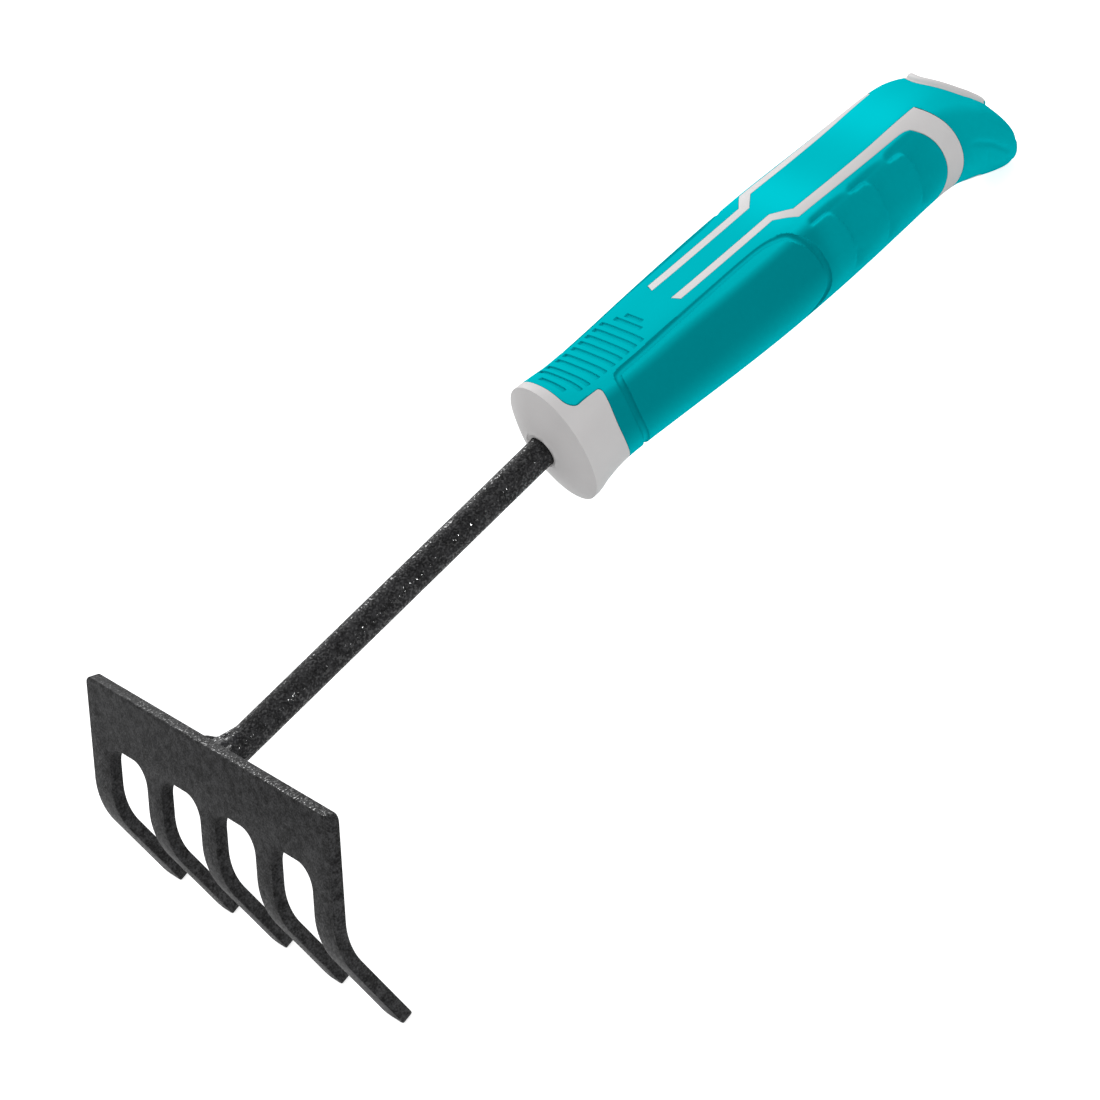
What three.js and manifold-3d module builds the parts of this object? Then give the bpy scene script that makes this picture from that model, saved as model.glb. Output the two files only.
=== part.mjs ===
// Garden hand rake: a bent sheet steel head with five tines, welded to a round bar, and a hard
// plastic handle core under a soft rubber skin. Millimetres, +Z up. The rake lies as it would on
// the ground, on its tine tips and the underside of its butt, with +X from the head to the butt.
// The origin is on the ground, under the middle of the tool.

import * as THREE from 'three';
import { mergeVertices } from 'three/addons/utils/BufferGeometryUtils.js';
import Module from 'manifold-3d';

const wasm = await Module();
wasm.setup();

// General values
const degree = Math.PI / 180;
const fitGap = 0.3;
const cutReach = 80;

// Steel head: sheet, tines and bends
const sheetThickness = 3;
const headWidth = 93.8;
const slotCount = 4;
const slotCornerRadius = 5;
const innerTineWidth = 6.2;
const outerTineWidth = 7.5;
const crownDepth = 14.4;
const plateCornerRadius = 1.7;
const straightLength = 24.4;
const bendRadius = 18;
const tineLength = 20.6;
const tipCornerRadius = 1.8;
const plateLean = 28.5 * degree;
const tineLean = 7.1 * degree;

// Round bar, its tang in the handle, and the weld at its root
const barDiameter = 7;
const barDrop = 6.9;
const barLength = 101;
const tangLength = 72;
const weldHalfWidth = 7.8;
const weldHalfHeight = 5.6;
const weldShift = 1.2;
const weldLift = 0.7;
const weldMostRise = 7.4;
const weldLeastRise = 2.4;
const weldFullestAngle = 52 * degree;
const weldHipShare = 0.38;
const weldHipRiseShare = 0.28;

// Handle: where it sits on the bar, and its main sizes
const rimSetback = 3.2;
const gripSag = 0.7;
const gripLean = 4.9 * degree;
const gripLength = 139;
const crownHeight = 15;
const bellyDepth = 15.2;
const gripHalfWidth = 13.9;
const noseRadius = 5;
const buttRounding = 2.2;
const rubberThickness = 2.2;
const lowestWaist = 0.3;
const highestWaist = 0.7;

// Grey plastic that shows through the rubber
const collarLength = 10.9;
const notchStart = 2.5;
const notchHalfWidth = 9.4;
const notchCornerRadius = 2.4;
const notchFloor = 2;
const lineWidth = 2.4;
const lineRearWidth = 2.8;
const lineStart = 39.4;
const lineHalfSpacing = 4.6;
const lineJogSetback = 69.8;
const lineJogLength = 5.2;
const lineRearHalfSpacing = 8.85;
const lineEndSetback = 28;
const lineSlant = 0.8;
const lineFloor = 4;
const bandSetback = 41;
const bandCentreHeight = -0.5;
const bandInnerRadius = 15.3;
const bandWidth = 5;
const bandTopAngle = 39 * degree;
const bandBottomAngle = -75 * degree;
const holeSetback = 10.7;
const holeHeight = 4.9;
const holeDiameter = 13.4;
const holeLean = 20 * degree;
const linerWall = 2.1;

// How finely curved faces are divided
const barSides = 32;
const weldSides = 32;
const gripSides = 32;
const gripRings = 28;
const coreSides = 24;
const coreRings = 16;
const capRings = 3;
const ringEasing = 0.35;
const holeSides = 28;
const arcSteps = 6;
const settleSteps = 6;

// The grip's sections from the front rim to the butt. Each row holds the place and height of the
// crown line, the place and depth of the belly line, and the half width, as shares of gripLength,
// crownHeight, gripLength, bellyDepth and gripHalfWidth, then how square the crown and belly are.
const sectionShares = [
  [0.000, 1.027, 0.000, 1.020, 0.892, 2.1, 2.1],
  [0.014, 1.003, 0.014, 1.004, 0.899, 2.2, 2.1],
  [0.036, 0.933, 0.036, 0.929, 0.885, 2.6, 2.1],
  [0.072, 0.827, 0.072, 0.848, 0.878, 3.4, 2.15],
  [0.115, 0.778, 0.115, 0.832, 0.892, 4.0, 2.2],
  [0.173, 0.787, 0.173, 0.858, 0.914, 4.0, 2.2],
  [0.245, 0.812, 0.245, 0.898, 0.935, 4.1, 2.2],
  [0.331, 0.813, 0.331, 0.938, 0.971, 4.5, 2.2],
  [0.432, 0.823, 0.432, 0.970, 0.993, 4.8, 2.2],
  [0.532, 0.837, 0.532, 0.968, 1.000, 4.7, 2.2],
  [0.619, 0.823, 0.619, 0.943, 0.996, 4.6, 2.2],
  [0.705, 0.825, 0.705, 0.916, 0.957, 4.5, 2.2],
  [0.770, 0.855, 0.773, 0.898, 0.914, 4.2, 2.2],
  [0.820, 0.869, 0.813, 0.895, 0.906, 3.7, 2.2],
  [0.860, 0.847, 0.847, 0.934, 0.914, 3.1, 2.2],
  [0.897, 0.700, 0.875, 1.046, 0.906, 2.8, 2.2],
  [0.930, 0.373, 0.902, 1.139, 0.878, 2.8, 2.2],
  [0.958, -0.027, 0.928, 1.230, 0.806, 2.6, 2.2],
  [0.979, -0.413, 0.954, 1.303, 0.691, 2.4, 2.2],
  [0.991, -0.813, 0.974, 1.322, 0.475, 2.2, 2.2],
];

// Sizes that follow from the ones above
const barRadius = barDiameter / 2;
const steelWidth = (slotCount - 1) * innerTineWidth + 2 * outerTineWidth;
const slotWidth = (headWidth - steelWidth) / slotCount;
const blankReach = straightLength + tineLength + bendRadius + cutReach;
const plateDown = new THREE.Vector3(-Math.sin(plateLean), 0, -Math.cos(plateLean));
const plateUp = plateDown.clone().negate();
const plateBack = new THREE.Vector3(Math.cos(plateLean), 0, -Math.sin(plateLean));
const tineDown = new THREE.Vector3(Math.sin(tineLean), 0, -Math.cos(tineLean));
const tineUp = tineDown.clone().negate();
const tineBack = new THREE.Vector3(Math.cos(tineLean), 0, Math.sin(tineLean));
const across = new THREE.Vector3(0, 1, 0);
const plateTop = plateUp.clone().multiplyScalar(barDrop);
const bendStart = plateTop.clone().addScaledVector(plateDown, straightLength);
const bendCentre = bendStart.clone().addScaledVector(plateBack, bendRadius);
const bendEnd = bendCentre.clone().addScaledVector(tineBack, -bendRadius);
const tipBack = bendEnd.clone().addScaledVector(tineDown, tineLength);
const lineJogStart = gripLength - lineJogSetback;
const lineJogEnd = lineJogStart + lineJogLength;
const lineRearEnd = gripLength - lineEndSetback;
const bandCentre = gripLength - bandSetback;

// Solids: a closed geometry goes in, is joined and cut, and comes back as a geometry

function toSolid(geometry) {
  const bare = geometry.clone();
  bare.deleteAttribute('normal');
  bare.deleteAttribute('uv');
  const merged = mergeVertices(bare);
  return new wasm.Manifold(new wasm.Mesh({
    numProp: 3,
    vertProperties: new Float32Array(merged.getAttribute('position').array),
    triVerts: new Uint32Array(merged.getIndex().array),
  }));
}

function toGeometry(solid) {
  const mesh = solid.getMesh();
  const geometry = new THREE.BufferGeometry();
  geometry.setAttribute('position', new THREE.BufferAttribute(mesh.vertProperties, 3));
  geometry.setIndex(new THREE.BufferAttribute(mesh.triVerts, 1));
  geometry.computeVertexNormals();
  return geometry;
}

function joined(solids) {
  return solids.reduce((sum, solid) => sum.add(solid));
}

// A flat outline, extruded by depth and centred on its plane, then turned so that its x and y
// run along the two given directions from the given origin
function slab(outline, depth, origin, xAxis, yAxis) {
  const geometry = new THREE.ExtrudeGeometry(outline, {
    depth,
    bevelEnabled: false,
    curveSegments: arcSteps,
  });
  geometry.translate(0, 0, -depth / 2);
  const zAxis = new THREE.Vector3().crossVectors(xAxis, yAxis);
  const placing = new THREE.Matrix4().makeBasis(xAxis, yAxis, zAxis).setPosition(origin);
  return toSolid(geometry.applyMatrix4(placing));
}

// Rows of points, each a closed ring, joined into a closed skin. Rings run front to back. The
// ends are closed by a point each, or the last ring joins the first.
function ringSkin(rings, endPoints) {
  const count = rings[0].length;
  const corners = rings.flat();
  const faces = [];
  const last = endPoints ? rings.length - 1 : rings.length;
  for (let row = 0; row < last; row += 1) {
    const next = (row + 1) % rings.length;
    for (let side = 0; side < count; side += 1) {
      const beside = (side + 1) % count;
      const [a, b] = [row * count + side, row * count + beside];
      const [c, d] = [next * count + side, next * count + beside];
      faces.push(a, b, d, a, d, c);
    }
  }
  if (endPoints) {
    const front = corners.push(endPoints[0]) - 1;
    const back = corners.push(endPoints[1]) - 1;
    const lastRing = (rings.length - 1) * count;
    for (let side = 0; side < count; side += 1) {
      const beside = (side + 1) % count;
      faces.push(front, beside, side, back, lastRing + side, lastRing + beside);
    }
  }
  const geometry = new THREE.BufferGeometry().setFromPoints(corners);
  geometry.setIndex(faces);
  geometry.computeVertexNormals();
  return geometry;
}

// Steel head

function bentSheet() {
  const side = new THREE.Shape();
  const outerRadius = bendRadius + sheetThickness;
  const tipFront = tipBack.clone().addScaledVector(tineBack, -sheetThickness);
  const topFront = plateTop.clone().addScaledVector(plateBack, -sheetThickness);
  side.moveTo(plateTop.x, plateTop.z);
  side.lineTo(bendStart.x, bendStart.z);
  side.absarc(bendCentre.x, bendCentre.z, bendRadius, Math.PI - plateLean, Math.PI + tineLean, false);
  side.lineTo(tipBack.x, tipBack.z);
  side.lineTo(tipFront.x, tipFront.z);
  side.absarc(bendCentre.x, bendCentre.z, outerRadius, Math.PI + tineLean, Math.PI - plateLean, true);
  side.lineTo(topFront.x, topFront.z);
  side.closePath();
  const width = headWidth + 2 * sheetThickness;
  return slab(side, width, new THREE.Vector3(), new THREE.Vector3(1, 0, 0), new THREE.Vector3(0, 0, 1));
}

// Left and right edge of each slot, from the left side of the head
function slotEdges() {
  const edges = [];
  let left = -headWidth / 2 + outerTineWidth;
  for (let slot = 0; slot < slotCount; slot += 1) {
    edges.push([left, left + slotWidth]);
    left += slotWidth + innerTineWidth;
  }
  return edges;
}

// The flat blank, from the plate's edge downwards, with its slots open at the bottom
function blankOutline() {
  const half = headWidth / 2;
  const outline = new THREE.Shape();
  const corner = plateCornerRadius;
  outline.moveTo(-half, -blankReach);
  outline.lineTo(-half, -corner);
  outline.absarc(-half + corner, -corner, corner, Math.PI, Math.PI / 2, true);
  outline.lineTo(half - corner, 0);
  outline.absarc(half - corner, -corner, corner, Math.PI / 2, 0, true);
  outline.lineTo(half, -blankReach);
  for (const [left, right] of slotEdges().reverse()) {
    const bow = slotCornerRadius;
    outline.lineTo(right, -blankReach);
    outline.lineTo(right, -crownDepth - bow);
    outline.absarc(right - bow, -crownDepth - bow, bow, 0, Math.PI / 2, false);
    outline.lineTo(left + bow, -crownDepth);
    outline.absarc(left + bow, -crownDepth - bow, bow, Math.PI / 2, Math.PI, false);
    outline.lineTo(left, -blankReach);
  }
  outline.closePath();
  return outline;
}

// What the rounding takes off one tip corner: the square of the corner less a quarter disc. The
// tine lies between the edge and its opposite edge.
function tipCorner(edge, opposite) {
  const radius = tipCornerRadius;
  const inward = Math.sign(opposite - edge);
  const outline = new THREE.Shape();
  outline.moveTo(edge - inward * fitGap, radius);
  outline.lineTo(edge, radius);
  const [from, to] = inward > 0 ? [Math.PI, 1.5 * Math.PI] : [0, -Math.PI / 2];
  outline.absarc(edge + inward * radius, radius, radius, from, to, inward < 0);
  outline.lineTo(edge + inward * radius, -fitGap);
  outline.lineTo(edge - inward * fitGap, -fitGap);
  outline.closePath();
  return slab(outline, cutReach, tipBack, across, tineUp);
}

function rakeHead() {
  const blank = slab(blankOutline(), 2 * cutReach, plateTop, across, plateUp);
  const edges = slotEdges();
  const lefts = [-headWidth / 2, ...edges.map(([, right]) => right)];
  const rights = [...edges.map(([left]) => left), headWidth / 2];
  const corners = [
    ...lefts.map((left, tine) => tipCorner(left, rights[tine])),
    ...rights.map((right, tine) => tipCorner(right, lefts[tine])),
  ];
  return bentSheet().intersect(blank).subtract(joined(corners));
}

// Round bar and weld

// A bar of the given radius along +X, from start to end
function roundBar(radius, start, end) {
  const geometry = new THREE.CylinderGeometry(radius, radius, end - start, barSides);
  geometry.rotateZ(-Math.PI / 2);
  geometry.translate((start + end) / 2, 0, 0);
  return toSolid(geometry);
}

// The bar's root is cut to the slope of the plate
function shank() {
  const room = new THREE.Shape();
  room.moveTo(fitGap, -cutReach);
  room.lineTo(barLength + tangLength + cutReach, -cutReach);
  room.lineTo(barLength + tangLength + cutReach, cutReach);
  room.lineTo(fitGap, cutReach);
  room.closePath();
  const behindPlate = slab(room, cutReach, new THREE.Vector3(), plateBack, plateUp);
  return roundBar(barRadius, -barDiameter, barLength + tangLength).intersect(behindPlate);
}

// One point of the weld, at a given distance from the plate's slope, along the bar
function weldPoint(y, z, rise) {
  const slope = (z * Math.sin(plateLean) + fitGap) / Math.cos(plateLean);
  return new THREE.Vector3(slope + rise, y, z);
}

// A fillet round the bar, fullest above it and towards the far side: rings run from its inside on
// the plate, outwards, up its hollow face and back down the bar
function weldBead() {
  const inside = barRadius + fitGap;
  const rings = [[], [], [], []];
  for (let side = 0; side < weldSides; side += 1) {
    const angle = 2 * Math.PI * side / weldSides;
    const [c, s] = [Math.cos(angle), Math.sin(angle)];
    const [footY, footZ] = [weldShift + weldHalfWidth * c, weldLift + weldHalfHeight * s];
    const fullness = (1 + Math.cos(angle - weldFullestAngle)) / 2;
    const rise = THREE.MathUtils.lerp(weldLeastRise, weldMostRise, fullness);
    const hipY = THREE.MathUtils.lerp(inside * c, footY, weldHipShare);
    const hipZ = THREE.MathUtils.lerp(inside * s, footZ, weldHipShare);
    rings[0].push(weldPoint(inside * c, inside * s, 0));
    rings[1].push(weldPoint(footY, footZ, 0));
    rings[2].push(weldPoint(hipY, hipZ, weldHipRiseShare * rise));
    rings[3].push(weldPoint(inside * c, inside * s, rise));
  }
  return toSolid(ringSkin(rings, null));
}

// Handle, built along its own axis: x from the rim to the butt, y across, z up

const handlePlace = new THREE.Matrix4().makeRotationY(gripLean);
handlePlace.setPosition(barLength + rimSetback, 0, -gripSag);
const barInHandle = handlePlace.clone().invert();

function sectionSizes(row) {
  const [crownAlong, crown, bellyAlong, belly, width, crownPower, bellyPower] = row;
  return [
    crownAlong * gripLength, crown * crownHeight,
    bellyAlong * gripLength, -belly * bellyDepth,
    width * gripHalfWidth, crownPower, bellyPower,
  ];
}

function makeSectionCurve() {
  const rows = sectionShares.map(sectionSizes);
  const places = [0];
  for (let row = 1; row < rows.length; row += 1) {
    const [now, before] = [rows[row], rows[row - 1]];
    const forward = (now[0] + now[2] - before[0] - before[2]) / 2;
    const upward = (now[1] + now[3] - before[1] - before[3]) / 2;
    places.push(places[row - 1] + Math.hypot(forward, upward));
  }
  return new THREE.CubicInterpolant(places, rows.flat(), rows[0].length);
}

const sectionCurve = makeSectionCurve();
const sectionReach = sectionCurve.parameterPositions.at(-1);

// One ring of the grip, drawn in by inset from the outer surface. The widest level is where the
// handle's axis crosses the section.
function gripRing(place, inset, sides) {
  const sizes = sectionCurve.evaluate(place);
  const crown = new THREE.Vector3(sizes[0], 0, sizes[1]);
  const belly = new THREE.Vector3(sizes[2], 0, sizes[3]);
  const [halfWidth, crownPower, bellyPower] = [sizes[4], sizes[5], sizes[6]];
  const upward = crown.clone().sub(belly);
  const height = upward.length();
  upward.normalize();
  const level = THREE.MathUtils.clamp(-belly.z / (crown.z - belly.z), lowestWaist, highestWaist) * height;
  const ring = [];
  for (let side = 0; side < sides; side += 1) {
    const angle = 2 * Math.PI * side / sides;
    const [c, s] = [Math.cos(angle), Math.sin(angle)];
    const power = 2 / (s >= 0 ? crownPower : bellyPower);
    const rise = s >= 0 ? height - level - inset : level - inset;
    const point = belly.clone();
    point.addScaledVector(upward, level + Math.sign(s) * Math.abs(s) ** power * rise);
    point.y = Math.sign(c) * Math.abs(c) ** power * (halfWidth - inset);
    ring.push(point);
  }
  return ring;
}

function middleOf(ring) {
  const sum = ring.reduce((total, point) => total.add(point), new THREE.Vector3());
  return sum.divideScalar(ring.length);
}

// Rings that round off the butt beyond the last section
function buttCap(lastRing, pastRing) {
  const middle = middleOf(lastRing);
  const outward = middle.clone().sub(middleOf(pastRing)).normalize();
  const rings = [];
  for (let step = 1; step < capRings; step += 1) {
    const angle = (Math.PI / 2) * step / capRings;
    rings.push(lastRing.map((point) => point.clone().sub(middle)
      .multiplyScalar(Math.cos(angle)).add(middle)
      .addScaledVector(outward, buttRounding * Math.sin(angle))));
  }
  return { rings, tip: middle.addScaledVector(outward, buttRounding) };
}

// The body of the grip at an inset. At the front it swells to a low nose round the bar.
function gripBody(inset, count, sides) {
  const start = inset;
  const end = sectionReach - inset;
  const rings = [];
  for (let ring = 0; ring < count; ring += 1) {
    const share = ring / (count - 1);
    const eased = THREE.MathUtils.lerp(share, Math.sin(share * Math.PI / 2), ringEasing);
    rings.push(gripRing(THREE.MathUtils.lerp(start, end, eased), inset, sides));
  }
  const noseMiddle = new THREE.Vector3(inset - rimSetback, 0, gripSag);
  const nose = rings[0].map((point) => {
    const spoke = new THREE.Vector3(0, point.y, point.z).normalize();
    return noseMiddle.clone().addScaledVector(spoke, noseRadius);
  });
  const cap = buttCap(rings.at(-1), rings.at(-2));
  return toSolid(ringSkin([nose, ...rings, ...cap.rings], [noseMiddle, cap.tip]));
}

// Grey parts of the surface, each as a solid that cuts through the grip, grown by a clearance

const alongX = new THREE.Vector3(1, 0, 0);
const alongY = new THREE.Vector3(0, 1, 0);
const alongZ = new THREE.Vector3(0, 0, 1);

function polygon(points) {
  return new THREE.Shape(points.map(([x, y]) => new THREE.Vector2(x, y)));
}

// All of the grip in front of the collar's edge, less the notch where the rubber reaches forward
function collarRegion(grow) {
  const edge = collarLength + grow;
  const front = polygon([
    [-cutReach, -cutReach], [edge, -cutReach], [edge, cutReach], [-cutReach, cutReach],
  ]);
  const half = notchHalfWidth - grow;
  const start = notchStart + grow;
  const corner = notchCornerRadius;
  const notch = new THREE.Shape();
  notch.moveTo(cutReach, half);
  notch.lineTo(start + corner, half);
  notch.absarc(start + corner, half - corner, corner, Math.PI / 2, Math.PI, false);
  notch.absarc(start + corner, -half + corner, corner, Math.PI, 1.5 * Math.PI, false);
  notch.lineTo(cutReach, -half);
  notch.closePath();
  const notchMiddle = new THREE.Vector3(0, 0, notchFloor + cutReach / 2);
  return slab(front, 2 * cutReach, new THREE.Vector3(), alongX, alongY)
    .subtract(slab(notch, cutReach, notchMiddle, alongX, alongY));
}

// One flush line along the crown: a straight front part, a jog outwards and a straight rear part
function lineRegion(side, grow) {
  const frontInner = lineHalfSpacing - lineWidth / 2 - grow;
  const frontOuter = lineHalfSpacing + lineWidth / 2 + grow;
  const rearInner = lineRearHalfSpacing - lineRearWidth / 2 - grow;
  const rearOuter = lineRearHalfSpacing + lineRearWidth / 2 + grow;
  const points = [
    [lineStart - grow, frontInner],
    [lineStart + lineSlant - grow, frontOuter],
    [lineJogStart, frontOuter],
    [lineJogEnd - lineWidth / 2, rearOuter],
    [lineRearEnd + bandWidth / 2, rearOuter],
    [lineRearEnd + bandWidth / 2, rearInner],
    [lineJogEnd, rearInner],
    [lineJogStart + lineWidth / 2, frontInner],
  ].map(([x, y]) => [x, side * y]);
  const outline = polygon(side > 0 ? points : points.reverse());
  const middle = new THREE.Vector3(0, 0, lineFloor + cutReach / 2);
  return slab(outline, cutReach, middle, alongX, alongY);
}

// The band at the rear: part of a ring seen from the side, which passes under the belly
function bandRegion(grow) {
  const inner = bandInnerRadius - grow;
  const outer = bandInnerRadius + bandWidth + grow;
  const spread = grow / bandInnerRadius;
  const [from, to] = [bandBottomAngle - spread, bandTopAngle + spread];
  const outline = new THREE.Shape();
  outline.absarc(bandCentre, bandCentreHeight, outer, from, to, false);
  outline.absarc(bandCentre, bandCentreHeight, inner, to, from, true);
  outline.closePath();
  return slab(outline, cutReach, new THREE.Vector3(), alongX, alongZ);
}

// A round post through the butt, for the hang hole and its liner. Its top leans to the rear.
function holePost(wall) {
  const outline = new THREE.Shape();
  outline.absarc(0, 0, holeDiameter / 2 + wall, 0, 2 * Math.PI, false);
  const points = outline.getPoints(holeSides).slice(0, -1);
  const middle = new THREE.Vector3(gripLength - holeSetback, 0, holeHeight);
  const levelAxis = new THREE.Vector3(Math.cos(holeLean), 0, -Math.sin(holeLean));
  return slab(new THREE.Shape(points), 2 * cutReach, middle, levelAxis, alongY);
}

function greyRegions(grow) {
  return joined([
    collarRegion(grow),
    lineRegion(1, grow),
    lineRegion(-1, grow),
    bandRegion(grow),
    holePost(linerWall + grow),
  ]);
}

function tangBore() {
  const bore = roundBar(barRadius + fitGap, 0, barLength + tangLength + fitGap);
  return bore.transform(barInHandle.elements);
}

function handleCore(body) {
  const shown = body.intersect(greyRegions(0));
  return gripBody(rubberThickness, coreRings, coreSides).add(shown).subtract(tangBore()).subtract(holePost(0));
}

function gripOvermold(body) {
  const inside = gripBody(rubberThickness - fitGap, coreRings, coreSides);
  return body.subtract(inside).subtract(greyRegions(fitGap));
}

// Assembly

function pieceMesh(name, solid, color, roughness, metalness) {
  const material = new THREE.MeshStandardMaterial({ color, roughness, metalness });
  const mesh = new THREE.Mesh(toGeometry(solid), material);
  mesh.name = name;
  return mesh;
}

// The corner of a geometry that lies lowest once the tool is turned about Y
function lowestCorner(geometry, turn) {
  const corners = geometry.getAttribute('position');
  const corner = new THREE.Vector3();
  const lowest = new THREE.Vector3();
  let lowestHeight = Infinity;
  for (let index = 0; index < corners.count; index += 1) {
    corner.fromBufferAttribute(corners, index);
    const height = corner.z * Math.cos(turn) - corner.x * Math.sin(turn);
    if (height < lowestHeight) {
      lowestHeight = height;
      lowest.copy(corner);
    }
  }
  return lowest;
}

// The turn about Y that puts the tine tips and the butt on the same level
function restingTurn(headGeometry, buttGeometry) {
  let turn = 0;
  for (let step = 0; step < settleSteps; step += 1) {
    const tip = lowestCorner(headGeometry, turn);
    const butt = lowestCorner(buttGeometry, turn);
    turn = Math.atan2(butt.z - tip.z, butt.x - tip.x);
  }
  return turn;
}

const gripSolid = gripBody(0, gripRings, gripSides);
const coreSolid = handleCore(gripSolid);
const overmoldSolid = gripOvermold(gripSolid);
const head = pieceMesh('rake_head', rakeHead(), 0x3c3c3e, 0.5, 0.6);
const bar = pieceMesh('shank', shank(), 0x38383a, 0.45, 0.6);
const weld = pieceMesh('weld_bead', weldBead(), 0x444446, 0.35, 0.6);
const core = pieceMesh('handle_core', coreSolid, 0xc4c2c2, 0.45, 0);
const overmold = pieceMesh('grip_overmold', overmoldSolid, 0x00a9b4, 0.6, 0);

const handle = new THREE.Group();
handle.applyMatrix4(handlePlace);
handle.add(core, overmold);

const tool = new THREE.Group();
tool.add(head, bar, weld, handle);
const handleGeometry = toGeometry(coreSolid.add(overmoldSolid)).applyMatrix4(handlePlace);
tool.rotation.y = restingTurn(head.geometry, handleGeometry);

const rake = new THREE.Group();
rake.add(tool);
rake.updateMatrixWorld(true);
const bounds = new THREE.Box3().setFromObject(rake, true);
const middle = bounds.getCenter(new THREE.Vector3());
tool.position.set(-middle.x, -middle.y, -bounds.min.z);
rake.updateMatrixWorld(true);

export default rake;
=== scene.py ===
# %% [markdown]
# # A garden hand rake, dressed for its portrait
# The frame is the CAD model of the rake, in metres and at rest on its tine tips and its butt.
# Everything made here sits on that frame, so nothing has to be fitted by eye.

# %% Load the frame
import math

import bmesh
import bpy
import numpy as np
from mathutils import Matrix, Vector


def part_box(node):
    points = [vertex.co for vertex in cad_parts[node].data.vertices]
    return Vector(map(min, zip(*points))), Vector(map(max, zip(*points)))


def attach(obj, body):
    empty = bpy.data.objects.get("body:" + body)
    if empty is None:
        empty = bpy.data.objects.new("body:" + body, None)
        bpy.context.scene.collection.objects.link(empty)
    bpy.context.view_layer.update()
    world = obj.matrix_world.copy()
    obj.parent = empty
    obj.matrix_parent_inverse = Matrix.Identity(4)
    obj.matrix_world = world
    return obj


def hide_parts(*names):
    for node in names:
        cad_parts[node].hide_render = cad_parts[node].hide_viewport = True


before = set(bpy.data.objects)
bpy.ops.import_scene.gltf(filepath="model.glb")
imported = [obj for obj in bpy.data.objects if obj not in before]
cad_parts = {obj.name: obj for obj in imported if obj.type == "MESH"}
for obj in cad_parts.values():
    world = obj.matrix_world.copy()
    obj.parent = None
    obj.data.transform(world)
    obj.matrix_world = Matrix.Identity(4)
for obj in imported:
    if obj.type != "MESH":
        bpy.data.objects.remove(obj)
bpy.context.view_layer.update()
print("nodes:", sorted(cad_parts))

# %% [markdown]
# The photograph was taken with a long lens from the near side, a little above the rake and
# rolled, so that the tool runs from the lower left to the upper right. A camera can be steered by
# hand until the view looks right. Here its place and turn were solved from the straight edges of
# the head and the bar, which leaves less to guess. The sizes of the rake are in millimetres
# below, and mm turns them into metres.

# %% Camera
mm = 0.001
camera_data = bpy.data.cameras.new("camera")
camera_data.sensor_width = 36
camera_data.lens = 130.909
camera = bpy.data.objects.new("camera", camera_data)
bpy.context.collection.objects.link(camera)
camera.location = (-0.252899, -0.656365, 0.561131)
camera.rotation_euler = [math.radians(angle) for angle in (46.437, 26.987, -42.665)]
bpy.context.scene.camera = camera
bpy.context.scene.view_settings.view_transform = "Standard"
print("camera at", tuple(round(value, 3) for value in camera.location))

# %% [markdown]
# Modelling in code follows the hand: one object is active, something on it is selected by its
# place, and a tool acts on the selection. These few helpers keep that short.

# %% Helpers for modelling
def deselect():
    bpy.ops.object.select_all(action="DESELECT")


def activate(piece):
    deselect()
    piece.select_set(True)
    bpy.context.view_layer.objects.active = piece


def start(name):
    """Takes the new primitive in hand and names it."""
    piece = bpy.context.active_object
    piece.name = name
    piece.data.name = name
    return piece


def pick(piece, test, mode="VERT"):
    """In edit mode, selects the points (by their place), edges or faces that pass the test."""
    bpy.ops.mesh.select_mode(type=mode)
    bpy.ops.mesh.select_all(action="DESELECT")
    mesh = bmesh.from_edit_mesh(piece.data)
    if mode == "VERT":
        for vert in mesh.verts:
            vert.select = test(vert.co)
    elif mode == "EDGE":
        for edge in mesh.edges:
            edge.select = test(edge)
    else:
        for face in mesh.faces:
            face.select = test(face)
    mesh.select_flush_mode()
    bmesh.update_edit_mesh(piece.data)


def modify(piece, kind, **settings):
    """Adds a modifier, sets it up and applies it."""
    activate(piece)
    modifier = piece.modifiers.new(kind.lower(), kind)
    for key, value in settings.items():
        setattr(modifier, key, value)
    bpy.ops.object.modifier_apply(modifier=modifier.name)


def combine(piece, other, operation, keep=False):
    """Joins or cuts two closed meshes, and throws the second away unless it is kept."""
    modify(piece, "BOOLEAN", object=other, operation=operation, solver="MANIFOLD")
    if not keep:
        bpy.data.objects.remove(other)


def lay(piece, matrix):
    """Moves the mesh itself, so that the object stays at the origin, unturned."""
    piece.data.transform(matrix @ piece.matrix_world)
    piece.matrix_world = Matrix.Identity(4)
    piece.data.update()


def smooth(piece, angle=30):
    activate(piece)
    bpy.ops.object.shade_smooth_by_angle(angle=math.radians(angle))


def count(piece):
    piece.data.calc_loop_triangles()
    return len(piece.data.loop_triangles)


print("modelling helpers ready")

# %% [markdown]
# Two frames make the sizes simple. The tool frame starts where the bar's axis meets the back of
# the plate, with x along the bar. The handle frame starts at the handle's front rim, with s along
# the handle, y across and t up. The rake lies tilted, so both are turned to rest on the ground.

# %% Frames
bar_root, rest_tilt = Vector((-111.9475, 0, 46.3068)), math.radians(3.291)
front_rim, handle_tilt = Vector((104.2, 0, -0.7)), math.radians(4.9)
tool_place = Matrix.Translation(bar_root * mm) @ Matrix.Rotation(rest_tilt, 4, "Y")
handle_place = (tool_place @ Matrix.Translation(front_rim * mm)
                @ Matrix.Rotation(handle_tilt, 4, "Y"))
print("front rim at", tuple(round(value / mm, 1) for value in handle_place.translation), "mm")

# %% [markdown]
# A finish is a small tree of nodes. Painted pictures could carry it too, but noise that is worked
# out in the piece's own coordinates needs no file and stays sharp at any distance. Every finish
# starts from the same few nodes, so a helper makes them.

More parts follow.
